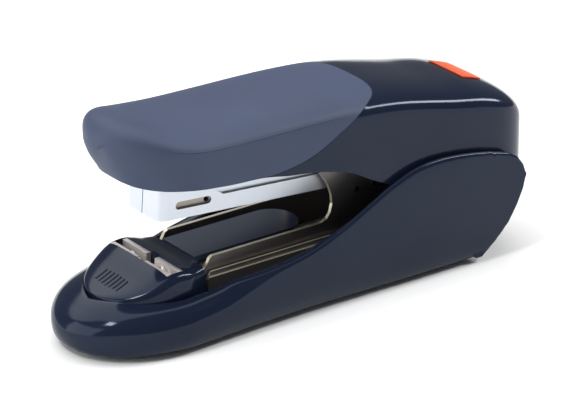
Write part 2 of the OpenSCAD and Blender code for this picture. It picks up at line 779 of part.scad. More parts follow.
// Rivet heads behind the holder, so that the front of the blade stays smooth in the nose
module driver_rivets()
    color("silver") placed() in_magazine()
        for (s = [-1, 1])
            rotate([0, blade_high - 1.4, 0])
                translate([-driver_r + driver_t + 0.81, s * 2, 0])
                    rotate([0, 90, 0]) cylinder(r = 0.7, h = 0.3, $fn = 24);

module handle_screws()
    color("silver") placed() in_magazine()
        for (i = [0, 1])
            translate([boss_xs[i] - pivot_x - 1.2, 0, 0]) {
                translate([0, 0, lever_top - 0.8 - 0.7]) cylinder(r = 1.8, h = 0.7, $fn = 32);
                translate([0, 0, lever_top - 0.82]) cylinder(r = 0.85, h = screw_lengths[i], $fn = 32);
            }

// Torsion spring on the pivot pin: lower leg on the magazine, upper leg under the lever
module handle_spring()
    color("silver") placed() in_magazine()
        wire(concat(
            [[-18, -3.2, -2.2], [-9, -3.2, -2.2], [-4.6, -3.2, -2.3]],
            [for (a = [0 : 20 : 5 * 360]) [-2.9 * sin(a), -3.2 + 6.4 * a / 1800, -2.9 * cos(a)]],
            [[-4, 3.2, -2.2], [-10, 3.2, 4], [-20, 3.2, lever_top - 1.3]]
        ), 0.35, 6);

badge_skin = [[-60, -0.25], [60, -0.25], [61, -0.25]];
badge_x = [45, 50];
badge_half = 5.8;
module rear_badge()
    color("orangered") placed()
        intersection() {
            difference() {
                handle_solid(badge_skin, 14, 19);
                handle_solid(outer_skin, 14, 19);
            }
            translate([badge_x[0], -badge_half, 30]) cube([badge_x[1] - badge_x[0], 2 * badge_half, 30]);
        }

base_shell();
bottom_cover();
front_foot();
rear_foot();
base_screws();
base_frame();
pivot_pin();
clincher_lifter();
table_spring();
table_frame();
clinch_cover();
table_plate();
anvil_front_plate();
anvil_rear_plate();
table_rivets();
clincher_wing_left();
clincher_wing_right();
clincher_pins();
magazine_shell();
magazine_channel();
staple_rail();
pusher_rod();
rod_stop();
rod_clip();
magazine_spring();
paper_guide();
pusher();
pusher_spring();
handle_cover();
grip_pad();
handle_frame();
driver_blade();
driver_holder();
driver_rivets();
handle_screws();
handle_spring();
rear_badge();
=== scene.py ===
import bmesh
import bpy
import json
import math
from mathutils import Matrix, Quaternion, Vector


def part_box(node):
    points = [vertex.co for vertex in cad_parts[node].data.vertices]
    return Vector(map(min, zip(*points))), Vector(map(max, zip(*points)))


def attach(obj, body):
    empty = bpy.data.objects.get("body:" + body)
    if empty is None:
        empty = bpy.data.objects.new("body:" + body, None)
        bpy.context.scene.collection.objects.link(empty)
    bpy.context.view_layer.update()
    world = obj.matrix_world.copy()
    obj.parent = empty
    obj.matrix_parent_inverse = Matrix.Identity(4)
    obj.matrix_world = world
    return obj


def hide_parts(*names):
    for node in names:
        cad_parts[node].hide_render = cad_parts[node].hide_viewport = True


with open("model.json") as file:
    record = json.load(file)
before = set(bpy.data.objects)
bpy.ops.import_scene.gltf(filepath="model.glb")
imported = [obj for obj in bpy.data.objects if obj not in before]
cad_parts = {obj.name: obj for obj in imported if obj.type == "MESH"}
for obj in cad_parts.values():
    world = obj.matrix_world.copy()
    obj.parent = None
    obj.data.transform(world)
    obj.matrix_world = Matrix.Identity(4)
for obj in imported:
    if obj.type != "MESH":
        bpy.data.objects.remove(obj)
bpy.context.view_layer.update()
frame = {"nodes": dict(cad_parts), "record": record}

MM = 0.001
DATUM_X = 2.6            # drawing X of the middle of the length, in mm
scene = bpy.context.scene

# ---------- curves shared with the CAD part, in mm in the drawing frame ----------
# SEAM and REAR_LOWER hold measured points; the others were drawn and adjusted

SHELL_T = 1.6
GRIP_T = 2.0
NOSE_TIP, FOOT_TIP, NOSE_C = -54.3, -53.0, -31.0
BASE_WIDE = [(NOSE_C, 17.3), (-10, 16.9), (10, 17), (30, 17.3), (60, 17.2)]
BASE_FOOT = [(NOSE_C, 15.2), (-16, 14.3), (0, 14), (12, 14.4), (30, 14.8), (60, 14.8)]
BASE_BULGE = [(NOSE_TIP, 4.4), (-40, 5.2), (-20, 8), (0, 12), (20, 16), (60, 16)]
BASE_TOP = [(NOSE_TIP, 4.8), (-53.8, 6.3), (-52.6, 7.9), (-50, 9.7), (-48, 10.8), (-45, 11.7),
            (-40, 12.4), (-31, 13), (-20, 14.4), (-10, 17), (0, 21), (12, 27), (24, 31), (60, 32)]
BASE_UNDER = [(NOSE_TIP, 3.8), (-53.8, 2.4), (-53, 1.4), (-51, 1), (-40, 1), (60, 1)]
RIM = [(-60, 30), (-40, 20), (-31, 14.4), (-22, 12.9), (-13, 13.5), (-3, 15.2), (5, 18.2),
       (12, 21.8), (18, 24.8), (24, 27), (30, 27.7), (37, 27.2), (44, 26), (49, 24.6)]
REAR_UPPER = [(49, 24.6), (51.6, 23.2), (53.2, 21.2), (54.0, 18.9)]
REAR_LOWER = [(43.5, 1), (45.8, 2.9), (47.6, 5), (49.8, 7.7), (51.6, 11), (53.2, 14.6), (54.0, 17.9)]
WELL_C, WELL_A, WELL_B = -34.0, 13.2, 12.7
WELL_SIDE = [(WELL_C, WELL_B), (-20, 13.4), (-6, 14.4), (4, 15.1), (10, 15.6), (70, 15.6)]
REAR_WALL_TOP = 6.6

HANDLE_TIP, HANDLE_C, HANDLE_B = -45.5, -27.0, 15.3
REAR_B, REAR_C, REAR_X, REAR_N = 15.1, 44.0, 59.2, 3
HANDLE_TOP = [(HANDLE_TIP, 44.2), (-45.2, 46), (-44.4, 47.7), (-43, 48.7), (-41, 48.9), (-38, 48.5),
              (-34, 47.5), (-30, 46.8), (-24, 46.3), (-12, 46), (0, 45.8), (8, 45.5), (16, 44.9),
              (22, 44.1), (28, 42.9), (36, 41.1), (44, 39.5), (48, 38.3), (52, 36.7), (55, 34.6),
              (57, 32), (58.3, 29), (59, 26), (REAR_X, 22)]
CROWN = [(HANDLE_TIP, 1), (-44, 3.6), (-41, 5), (15, 5), (50, 5), (56, 4), (REAR_X, 3)]
CROWN_N = 2.8
TUCK, TUCK_RISE = 0.085, 6.5   # how far, and over what height, the nose of the grip rolls under
BEAK = [(30, -43), (36, -43), (40, -44.6), (43.5, HANDLE_TIP), (60, HANDLE_TIP)]
LOWER_EDGE = [(-45.8, 43), (-45.2, 40), (-44.4, 38), (-43.4, 36.6), (-41.8, 35.9), (-38, 35.6),
              (-33, 35.5), (-28, 35.2), (-22, 34.6), (-14, 34.1), (-8, 33), (0, 31.8), (8, 29.6),
              (13.6, 26.6), (18, 24.4), (26, 20), (36, 16), (46, 13.8), (56.4, 13.6), (70, 13.6)]
SEAM = [(-14, 34.1), (-9.2, 34.3), (-3.9, 35.1), (-0.4, 36.2), (2.8, 37.7), (7.2, 40.1), (10.8, 42.2),
        (14, 43.4), (17, 44), (19.4, 44.7), (20.6, 45.6), (21.2, 47)]

BLOCK_TOP = [(-47, 11.2), (-45, 11.9), (-42, 13), (-39, 14.4), (-36.5, 15.8), (-34.4, 16.6),
             (-32, 16.8), (-30, 16.5), (-27.5, 16), (-20, 16)]


def curve(table, x):
    """Smooth curve through a table of (place, value) pairs."""
    last = len(table) - 2
    i = 0
    while i < last and x > table[i + 1][0]:
        i += 1

    def rise(k):
        a, b = max(k - 1, 0), min(k + 1, len(table) - 1)
        return (table[b][1] - table[a][1]) / (table[b][0] - table[a][0])

    h = table[i + 1][0] - table[i][0]
    u = min(1.0, max(0.0, (x - table[i][0]) / h))
    m, n = rise(i) * h, rise(i + 1) * h
    return ((2 * u**3 - 3 * u**2 + 1) * table[i][1] + (u**3 - 2 * u**2 + u) * m
            + (3 * u**2 - 2 * u**3) * table[i + 1][1] + (u**3 - u**2) * n)


def arm(u, n):
    """One arm of a superellipse, 1 at 0 and 0 at 1."""
    return max(0.0, 1 - min(1.0, abs(u)) ** n) ** (1 / n)


def to_row(p):
    return ((p[0] - DATUM_X) * MM, p[1] * MM, p[2] * MM)


def along(points, t):
    """The point a share t of the way along a polyline."""
    steps = [math.dist(a, b) for a, b in zip(points, points[1:])]
    left = t * sum(steps)
    for a, b, s in zip(points, points[1:], steps):
        if left <= s or b is points[-1]:
            f = min(1.0, left / s) if s > 0 else 0
            return tuple(p + (q - p) * f for p, q in zip(a, b))
        left -= s
    return points[-1]


# ---------- mesh helpers ----------

def make_object(name, verts, faces, weld=1e-6):
    mesh = bpy.data.meshes.new(name)
    mesh.from_pydata([to_row(v) for v in verts], [], faces)
    obj = bpy.data.objects.new(name, mesh)
    scene.collection.objects.link(obj)
    clean(obj, weld)
    return obj


def clean(obj, weld):
    """Weld the seams, drop empty faces and turn every face outwards."""
    bm = bmesh.new()
    bm.from_mesh(obj.data)
    bmesh.ops.remove_doubles(bm, verts=bm.verts, dist=weld)
    bmesh.ops.dissolve_degenerate(bm, edges=bm.edges, dist=weld)
    bmesh.ops.recalc_face_normals(bm, faces=bm.faces)
    for face in bm.faces:
        face.smooth = True
    bm.to_mesh(obj.data)
    bm.free()


def add_bevel(obj, width_mm, segments=3, angle=40):
    bevel = obj.modifiers.new("edge", "BEVEL")
    bevel.width = width_mm * MM
    bevel.segments = segments
    bevel.limit_method = "ANGLE"
    bevel.angle_limit = math.radians(angle)
    bevel.harden_normals = True
    bevel.use_clamp_overlap = True


def skin_solid(name, outer, inner):
    """A closed wall between two grids of points: outer[row][column] and inner[row][column]."""
    rows, cols = len(outer), len(outer[0])
    verts = [p for row in outer for p in row] + [p for row in inner for p in row]
    off = rows * cols
    faces = []
    for r in range(rows - 1):
        for c in range(cols - 1):
            a, b, d, e = r * cols + c, r * cols + c + 1, (r + 1) * cols + c + 1, (r + 1) * cols + c
            faces.append((a, b, d, e))
            faces.append((off + e, off + d, off + b, off + a))
    for c in range(cols - 1):
        for r in (0, rows - 1):
            a, b = r * cols + c, r * cols + c + 1
            faces.append((a, off + a, off + b, b))
    for r in range(rows - 1):
        a, b = r * cols + cols - 1, (r + 1) * cols + cols - 1
        faces.append((a, off + a, off + b, b))
    return make_object(name, verts, faces)


# ---------- handle: grip pad and glossy cover ----------

def handle_point(x, v, depth, sign):
    """A point on the handle: v runs 0 to 1 up the side and 1 to 2 over the crown."""
    reach = (HANDLE_C - x) / (HANDLE_C - HANDLE_TIP)
    back = (x - REAR_C) / (REAR_X - REAR_C)
    if x < HANDLE_C:
        w = (HANDLE_B - depth) * arm(reach, 2)
    elif x > REAR_C:
        w = (REAR_B - depth) * arm(back, REAR_N)
    else:
        w = HANDLE_B + (REAR_B - HANDLE_B) * (x - HANDLE_C) / (REAR_C - HANDLE_C) - depth
    top = curve(HANDLE_TOP, x) - depth
    h = curve(CROWN, x)
    px = REAR_C + (REAR_X - REAR_C - depth) * back if x > REAR_C else x
    if v > 1:
        a = min(math.pi / 2, (v - 1) * math.pi / 2)
        y = w * max(0.0, math.cos(a)) ** (2 / CROWN_N)
        z = top - h + h * math.sin(a) ** (2 / CROWN_N)
        if x < HANDLE_C:
            px = HANDLE_C - (HANDLE_C - curve(BEAK, z) - depth) * reach
        return (px, sign * y, z)
    # under the beak the nose recedes, so the lower edge is looked up where the point lands
    for _ in range(8 if x < HANDLE_C else 1):
        low = curve(LOWER_EDGE, px)
        z = low + v * max(0.0, top - h - low)
        if x < HANDLE_C:
            px = HANDLE_C - (HANDLE_C - curve(BEAK, z) - depth) * reach
    if x < HANDLE_C:
        tuck = 1 - TUCK * reach**2 * max(0.0, 1 - (z - low) / TUCK_RISE) ** 2
        px = HANDLE_C - (HANDLE_C - px) * tuck
        w *= tuck
    return (px, sign * w, z)


def seam_x(v):
    """Where row v of the handle meets the join between grip and cover."""
    lo, hi = -14.0, 21.2
    for _ in range(40):
        mid = (lo + hi) / 2
        if curve(SEAM, mid) < handle_point(mid, v, 0, 1)[2]:
            lo = mid
        else:
            hi = mid
    return (lo + hi) / 2


SIDE_ROWS, CROWN_ROWS = 16, 18
half_rows = [i / SIDE_ROWS for i in range(SIDE_ROWS)] + [1 + i / CROWN_ROWS for i in range(CROWN_ROWS + 1)]
handle_rows = [(v, -1) for v in half_rows] + [(v, 1) for v in reversed(half_rows[:-1])]


def front_columns(v, count, gap=0.0):
    end = seam_x(v) - gap
    return [HANDLE_TIP + (end - HANDLE_TIP) * (1 - math.cos(i / count * math.pi / 2))
            for i in range(count + 1)]


def rear_columns(v, count, turn):
    start = seam_x(v)
    straight = [start + (REAR_C - start) * i / count for i in range(count)]
    return straight + [REAR_C + (REAR_X - REAR_C) * math.sin(i / turn * math.pi / 2) ** (2 / REAR_N)
                       for i in range(turn + 1)]


def handle_grid(depth, columns):
    return [[handle_point(x, v, depth, s) for x in columns(v)] for v, s in handle_rows]


FRONT_COLS, REAR_COLS, REAR_TURN = 44, 30, 22


def grip_columns(v):
    return front_columns(v, FRONT_COLS, 0.06)


grip = skin_solid("grip_skin", handle_grid(0, grip_columns), handle_grid(GRIP_T, grip_columns))
add_bevel(grip, 0.5, 4, 50)


def cover_row(v, s, front_depth, rear_depth):
    return ([handle_point(x, v, front_depth, s) for x in front_columns(v, FRONT_COLS)]
            + [handle_point(x, v, rear_depth, s) for x in rear_columns(v, REAR_COLS, REAR_TURN)])


CORE_DEPTH = GRIP_T + 0.04
cover_outer = [cover_row(v, s, CORE_DEPTH, 0) for v, s in handle_rows]
cover_inner = [cover_row(v, s, CORE_DEPTH + SHELL_T, SHELL_T) for v, s in handle_rows]
cover = skin_solid("gloss_cover", cover_outer, cover_inner)
add_bevel(cover, 0.3, 3, 50)


BEAD_START, BEAD_END = -38.5, 8.0
BEAD_ROW = 1.17          # its row on the handle, just above the side
BEAD_R, BEAD_SINK = 0.16, 0.02
BEAD_STEPS, BEAD_TAPER = 60, 8


def bead(name, sign):
    """The fine parting line that stands proud along one side of the grip."""
    sides = 6
    xs = [BEAD_START + (BEAD_END - BEAD_START) * i / BEAD_STEPS for i in range(BEAD_STEPS + 1)]
    verts, faces = [], []
    for i, x in enumerate(xs):
        c = handle_point(x, BEAD_ROW, BEAD_SINK, sign)
        r = BEAD_R * min(1.0, 0.25 + i / BEAD_TAPER, 0.25 + (BEAD_STEPS - i) / BEAD_TAPER)
        turns = [k * math.tau / sides for k in range(sides)]
        verts += [(c[0], c[1] + r * math.cos(t), c[2] + r * math.sin(t)) for t in turns]
    for i in range(len(xs) - 1):
        for k in range(sides):
            a, b = i * sides + k, i * sides + (k + 1) % sides
            faces.append((a, b, b + sides, a + sides))
    last = (len(xs) - 1) * sides
    faces += [tuple(range(sides)), tuple(last + k for k in range(sides))]
    return make_object(name, verts, faces)


beads = [bead("grip_parting_line_near", -1), bead("grip_parting_line_far", 1)]

# ---------- base shell ----------

RIM_SOFT = 1.5           # mm of path that the corners of a section are softened over
LOOP_POINTS = 150
UNDERSIDE = 1.0          # height of the shell's lower edge over the feet's plane
WELL_FLOOR = 2.9         # height that the walls reach down to inside
BELLY_STEPS, TOP_STEPS = 12, 60
EASE = 2.4               # crowds the points of a section towards its outer edge


def base_half_w(x):
    return curve(BASE_WIDE, x) * (arm((NOSE_C - x) / (NOSE_C - NOSE_TIP), 2.05) if x < NOSE_C else 1)


def section_power(x):
    """Power of the base's section: round at the nose, squarer towards the rear."""
    return 2.6 if x < -24 else min(7, 2.6 + (x + 24) * 0.14)


def deck_z(x, y):
    """Height of the outside of the base above a plan point, cut by the rim."""
    w = max(0.01, base_half_w(x))
    low, top = curve(BASE_BULGE, x), curve(BASE_TOP, x)
    z = low + (top - low) * arm(abs(y) / w, section_power(x))
    return min(z, curve(RIM, x)) if x < 49 else z


def wall_y(x, z):
    """Half width of the base at a height, for the straight part."""
    low, top, under = curve(BASE_BULGE, x), curve(BASE_TOP, x), UNDERSIDE
    w, foot = curve(BASE_WIDE, x), curve(BASE_FOOT, x)
    if z < low:
        c = 1 - max(0.0, z - under) / (low - under)
        return foot + (w - foot) * math.sqrt(max(0.0, 1 - c * c))
    return w * arm((z - low) / (top - low), section_power(x))


def resample(points, count, closed):
    """Even steps along a polyline."""
    pts = points + [points[0]] if closed else points
    steps = [math.dist(a, b) for a, b in zip(pts, pts[1:])]
    total = sum(steps)
    wanted = count if closed else count - 1
    out, seg, done = [], 0, 0.0
    for k in range(count):
        target = total * k / wanted
        while seg < len(steps) - 1 and done + steps[seg] < target:
            done += steps[seg]
            seg += 1
        f = min(1.0, max(0.0, (target - done) / steps[seg])) if steps[seg] > 0 else 0
        out.append(tuple(p + (q - p) * f for p, q in zip(pts[seg], pts[seg + 1])))
    return out, total


def soften(points, reach):
    """A closed loop with its corners rounded, by averaging along its path."""
    loop, total = resample(points, LOOP_POINTS * 3, True)
    half = max(1, round(reach / 2 / (total / len(loop))))
    n = len(loop)
    for _ in range(2):
        loop = [tuple(sum(loop[(i + k) % n][axis] for k in range(-half, half + 1)) / (2 * half + 1)
                      for axis in range(3)) for i in range(n)]
    return loop[::3]


def nose_loop(phi):
    """A section of the base's nose in a plane that fans round the well, phi 0 at the front."""
    cb, sb = math.cos(phi), math.sin(phi)
    foot = (NOSE_C - (NOSE_C - FOOT_TIP) * cb, curve(BASE_FOOT, NOSE_C) * sb)
    wide = (NOSE_C - (NOSE_C - NOSE_TIP) * cb, curve(BASE_WIDE, NOSE_C) * sb)
    well = (WELL_C - WELL_A * cb, WELL_B * sb)
    well = (well[0] + (NOSE_C - WELL_C) * sb, well[1] + (curve(WELL_SIDE, NOSE_C) - WELL_B) * sb)
    z_under, z_wide = curve(BASE_UNDER, foot[0]), curve(BASE_BULGE, wide[0])
    loop = []
    for i in range(BELLY_STEPS + 1):
        a = i / BELLY_STEPS * math.pi / 2
        loop.append((foot[0] + (wide[0] - foot[0]) * math.sin(a),
                     foot[1] + (wide[1] - foot[1]) * math.sin(a),
                     z_under + (z_wide - z_under) * (1 - math.cos(a))))
    for i in range(1, TOP_STEPS + 1):
        g = (i / TOP_STEPS) ** EASE
        x, y = wide[0] + (well[0] - wide[0]) * g, wide[1] + (well[1] - wide[1]) * g
        loop.append((x, y, max(z_wide, deck_z(x, y))))
    inner = 0.885            # inside of the lower wall, as a share of the foot's outline
    inside = (NOSE_C + (foot[0] - NOSE_C) * inner, foot[1] * inner)
    loop.append((*well, WELL_FLOOR))
    loop.append((*inside, WELL_FLOOR))
    loop.append((*inside, z_under))
    return soften(loop, RIM_SOFT)


def side_loop(low, high):
    """A section of the side wall, between a point of its lower edge and one of the rim, in XZ."""
    (x0, z0), (x1, z1) = low, high
    loop = []
    for i in range(TOP_STEPS + 1):
        t = i / TOP_STEPS
        x, z = x0 + (x1 - x0) * t, z0 + (z1 - z0) * t
        loop.append((x, wall_y(x, z), z))
    well = curve(WELL_SIDE, x1)
    wall = loop[-1][1]
    for i in range(1, 9):
        y = wall + (min(well, wall - 0.4) - wall) * i / 8
        loop.append((x1, y, z1))
    well_low = min(curve(WELL_SIDE, x0), loop[0][1] - 0.3)
    floor_z = max(z0, WELL_FLOOR)
    floor_x = x0 + (x1 - x0) * (floor_z - z0) / max(0.01, z1 - z0)
    if z0 < WELL_FLOOR - 0.05:
        inset = loop[0][1] - 1.7
        loop.append((floor_x, curve(WELL_SIDE, x0), floor_z))
        loop.append((floor_x, min(inset, curve(WELL_SIDE, x0) - 0.1), floor_z))
        loop.append((x0, inset, z0))
    else:
        loop.append((floor_x, min(well, curve(WELL_SIDE, x0)) if floor_z > z0 else well_low, floor_z))
    return soften(loop, min(RIM_SOFT, 0.5 * (z1 - z0) + 0.2))


def mirrored_sweep(name, loops):
    """Loops swept from the middle out to a capped end, and the same on the other side."""
    n = len(loops[0])
    verts, faces = [], []
    for sign in (1, -1):
        base = len(verts)
        verts += [(x, sign * y, z) for loop in loops for x, y, z in loop]
        for j in range(len(loops) - 1):
            for i in range(n):
                a, b = base + j * n + i, base + j * n + (i + 1) % n
                quad = (a, b, b + n, a + n)
                faces.append(quad if sign > 0 else quad[::-1])
        end = [base + (len(loops) - 1) * n + i for i in range(n)]
        faces.append(tuple(end if sign > 0 else end[::-1]))
    return make_object(name, verts, faces)


NOSE_COLS, STRAIGHT_COLS, FAN_COLS = 26, 56, 30
loops = [nose_loop(math.pi / 2 * i / NOSE_COLS) for i in range(NOSE_COLS)]
FAN_X = 40.0             # where the sections start to fan round the rear edge


def straight_loop(x):
    """A section across the straight part, where the top may still roll over."""
    z_wide = curve(BASE_BULGE, x)
    w, foot, well = curve(BASE_WIDE, x), curve(BASE_FOOT, x), curve(WELL_SIDE, x)
    loop = []
    for i in range(BELLY_STEPS + 1):
        a = i / BELLY_STEPS * math.pi / 2
        loop.append((x, foot + (w - foot) * math.sin(a),
                     UNDERSIDE + (z_wide - UNDERSIDE) * (1 - math.cos(a))))
    for i in range(1, TOP_STEPS + 1):
        g = (i / TOP_STEPS) ** EASE
        y = w + (well - w) * g
        z = deck_z(x, y)
        if z > z_wide:
            loop.append((x, y, z))
    inset = foot - 1.75
    loop.append((x, well, WELL_FLOOR))
    loop.append((x, inset, WELL_FLOOR))
    loop.append((x, inset, UNDERSIDE))
    return soften([p for p in loop if p[2] <= curve(RIM, x) + 0.01], RIM_SOFT)


loops += [straight_loop(NOSE_C + (FAN_X - NOSE_C) * i / STRAIGHT_COLS) for i in range(STRAIGHT_COLS)]
upper = [(FAN_X, curve(RIM, FAN_X)), (44, 26)] + REAR_UPPER
lower = [(FAN_X, UNDERSIDE)] + REAR_LOWER
loops += [side_loop(along(lower, i / FAN_COLS), along(upper, i / FAN_COLS)) for i in range(FAN_COLS + 1)]
base = mirrored_sweep("base_skin", loops)


def slab_from_profile(name, profile, half_width):
    """A side profile in XZ, drawn across the part."""
    n = len(profile)
    verts = [(x, -half_width, z) for x, z in profile] + [(x, half_width, z) for x, z in profile]
    faces = [tuple(range(n)), tuple(range(2 * n - 1, n - 1, -1))]
    faces += [(i, (i + 1) % n, n + (i + 1) % n, n + i) for i in range(n)]
    return make_object(name, verts, faces)


rear_wall = slab_from_profile(
    "base_rear_wall",
    [(40.2, 2.7), (41.8, 1.1), (43.4, 1.1)] + [(x - 0.05, z) for x, z in REAR_LOWER[1:3]]
    + [(48.9, REAR_WALL_TOP), (46.9, REAR_WALL_TOP), (44.6, 4.2)], 15.9)
add_bevel(rear_wall, 0.4, 3, 25)

# ---------- clinch block ----------

BLOCK_A, BLOCK_B, BLOCK_LOW = 12.5, 12.0, 8.85
BAND = (-35.1, -30.9)    # the anvil's gap across the block, front and rear
BLOCK_ROUND = 0.34       # power of the block's section: nearly square, with rounded shoulders
SHOULDER_STEPS = 16


def block_side(top):
    """Height where the block's side starts to round over."""
    return max(9.4, top - 6)


def block_half_w(x):
    return BLOCK_B * arm((WELL_C - x) / BLOCK_A, 2) if x < WELL_C else BLOCK_B - max(0, x + 30) * 0.35


def block_z(x, y):
    """Height of the block's top above a plan point."""
    w = max(0.01, block_half_w(x))
    top = curve(BLOCK_TOP, x)
    side = block_side(top)
    return side + (top - side) * arm(abs(y) / w, 2 / BLOCK_ROUND)


def block_section(x):
    w, top = block_half_w(x), curve(BLOCK_TOP, x)
    side = block_side(top)
    half = [(w, BLOCK_LOW), (w, (BLOCK_LOW + side) / 2), (w, side)]
    for i in range(1, SHOULDER_STEPS):
        a = i / SHOULDER_STEPS * math.pi / 2
        half.append((w * math.cos(a) ** BLOCK_ROUND, side + (top - side) * math.sin(a) ** BLOCK_ROUND))
    half += [(half[-1][0] * s, top) for s in (0.8, 0.55, 0.3)]
    return half + [(0.0, top)] + [(-y, z) for y, z in reversed(half)]


block_xs = [WELL_C - BLOCK_A * math.cos(math.radians(a)) for a in range(5, 90, 5)]
block_xs += [-34 + i * 0.6 for i in range(15)]
block_rows = [[(x, y, z) for y, z in block_section(x)] for x in block_xs]
n_cols = len(block_rows[0])
block_verts = [p for row in block_rows for p in row]
block_faces = [(r * n_cols + c, r * n_cols + c + 1, (r + 1) * n_cols + c + 1, (r + 1) * n_cols + c)
               for r in range(len(block_rows) - 1) for c in range(n_cols - 1)]
block_faces += [((r + 1) * n_cols, (r + 1) * n_cols + n_cols - 1, r * n_cols + n_cols - 1, r * n_cols)
                for r in range(len(block_rows) - 1)]
block_faces.append(tuple(range(n_cols))[::-1])
block_faces.append(tuple((len(block_rows) - 1) * n_cols + c for c in range(n_cols)))
block = make_object("clinch_skin", block_verts, block_faces)



def cut(obj, tool):
    """Take the tool's shape out of the object, and the tool with it."""
    bpy.context.view_layer.objects.active = obj
    boolean = obj.modifiers.new("cut", "BOOLEAN")
    boolean.operation = "DIFFERENCE"
    boolean.solver = "EXACT"
    boolean.object = tool
    bpy.ops.object.modifier_apply(modifier=boolean.name)
    bpy.data.objects.remove(tool)


for name, low, high, half_width in (("slot_cutter", 9.6, 20, 10.4), ("slot_cutter_low", 5, 9.7, 8)):
    outline = [(BAND[0], low), (BAND[1], low), (BAND[1], high), (BAND[0], high)]
    cut(block, slab_from_profile(name, outline, half_width))
add_bevel(block, 0.22, 3, 45)


def raised_bar(name, x0, x1, y, width):
    """One rib of the plain ribbed pad on the block's front slope."""
    outer, inner = [], []
    steps = 10
    for side in (-1, -0.5, 0.5, 1):
        yy = y + side * width / 2
        outer.append([(x0 + (x1 - x0) * i / steps, yy, block_z(x0 + (x1 - x0) * i / steps, yy)
                       + (0.16 if abs(side) < 1 else 0.02)) for i in range(steps + 1)])
        inner.append([(p[0], p[1], p[2] - 0.5) for p in outer[-1]])
    rows, cols = len(outer), len(outer[0])
    verts = [p for row in outer for p in row] + [p for row in inner for p in row]
    off = rows * cols
    faces = []
    for r in range(rows - 1):
        for c in range(cols - 1):
            a, b, d, e = r * cols + c, r * cols + c + 1, (r + 1) * cols + c + 1, (r + 1) * cols + c
            faces += [(a, b, d, e), (off + e, off + d, off + b, off + a)]
    for c in range(cols - 1):
        for r in (0, rows - 1):
            a, b = r * cols + c, r * cols + c + 1
            faces.append((a, off + a, off + b, b))
    for r in range(rows - 1):
        for c in (0, cols - 1):
            a, b = r * cols + c, (r + 1) * cols + c
            faces.append((a, off + a, off + b, b))
    return make_object(name, verts, faces)


RIB_COUNT, RIB_X, RIB_PITCH, RIB_W = 7, -41.8, 1.25, 0.5

ribs = []
for k in range(RIB_COUNT):
    off_centre = k - RIB_COUNT // 2
    half_len = 1.7 - 0.08 * abs(off_centre)
    ribs.append(raised_bar("clinch_rib_%d" % (k + 1), RIB_X - half_len, RIB_X + half_len,
                           off_centre * RIB_PITCH, RIB_W))

# ---------- materials ----------


def new_material(name):
    mat = bpy.data.materials.new(name)
    mat.use_nodes = True
    tree = mat.node_tree
    return mat, tree, tree.nodes["Principled BSDF"]


def noise(tree, scale, detail=3.0):
    coord = tree.nodes.new("ShaderNodeTexCoord")
    node = tree.nodes.new("ShaderNodeTexNoise")
    node.inputs["Scale"].default_value = scale
    node.inputs["Detail"].default_value = detail
    tree.links.new(coord.outputs["Object"], node.inputs["Vector"])
    return node.outputs["Fac"]


def ramp(tree, fac, stops):
    node = tree.nodes.new("ShaderNodeValToRGB")
    node.color_ramp.elements[0].position = stops[0][0]
    node.color_ramp.elements[0].color = (*stops[0][1], 1)
    node.color_ramp.elements[1].position = stops[-1][0]
    node.color_ramp.elements[1].color = (*stops[-1][1], 1)
    for place, colour in stops[1:-1]:
        node.color_ramp.elements.new(place).color = (*colour, 1)
    tree.links.new(fac, node.inputs["Fac"])
    return node.outputs["Color"]


def vary(tree, fac, low, high, socket):
    node = tree.nodes.new("ShaderNodeMapRange")
    node.inputs["To Min"].default_value = low
    node.inputs["To Max"].default_value = high
    tree.links.new(fac, node.inputs["Value"])
    tree.links.new(node.outputs["Result"], socket)


def grain(tree, shader, scale, strength, distance=0.0001):
    bump = tree.nodes.new("ShaderNodeBump")
    bump.inputs["Strength"].default_value = strength
    bump.inputs["Distance"].default_value = distance
    tree.links.new(noise(tree, scale, 2.0), bump.inputs["Height"])
    tree.links.new(bump.outputs["Normal"], shader.inputs["Normal"])


def surface(name, dark, light, rough, metallic=0.0, scale=120, bump=0.0, bump_scale=2500, specular=0.5,
            tint=(1, 1, 1)):
    """A material whose colour and roughness drift gently over the surface."""
    mat, tree, shader = new_material(name)
    fac = noise(tree, scale)
    tree.links.new(ramp(tree, fac, [(0.3, dark), (0.7, light)]), shader.inputs["Base Color"])
    vary(tree, fac, rough[0], rough[1], shader.inputs["Roughness"])
    shader.inputs["Metallic"].default_value = metallic
    shader.inputs["Specular IOR Level"].default_value = specular
    shader.inputs["Specular Tint"].default_value = (*tint, 1)
    if bump:
        grain(tree, shader, bump_scale, bump)
    return mat


def steel_painted_edge_highlight(name, face, edge):
    """Dark faces on the cheeks of a channel; the edge colour is a painted highlight, given to every face
    not turned sideways (tops, ends, edge bevels).
    """
    mat, tree, shader = new_material(name)
    geometry = tree.nodes.new("ShaderNodeNewGeometry")
    split = tree.nodes.new("ShaderNodeSeparateXYZ")
    size = tree.nodes.new("ShaderNodeMath")
    size.operation = "ABSOLUTE"
    tree.links.new(geometry.outputs["True Normal"], split.inputs["Vector"])
    tree.links.new(split.outputs["Y"], size.inputs[0])
    # painted highlight: faces with |normal Y| under 0.55 take the bright edge colour, over 0.8 the dark
    # face colour
    colour = ramp(tree, size.outputs[0], [(0.55, edge), (0.8, face)])
    tree.links.new(colour, shader.inputs["Base Color"])
    vary(tree, noise(tree, 300), 0.27, 0.32, shader.inputs["Roughness"])
    shader.inputs["Metallic"].default_value = 0.65
    return mat


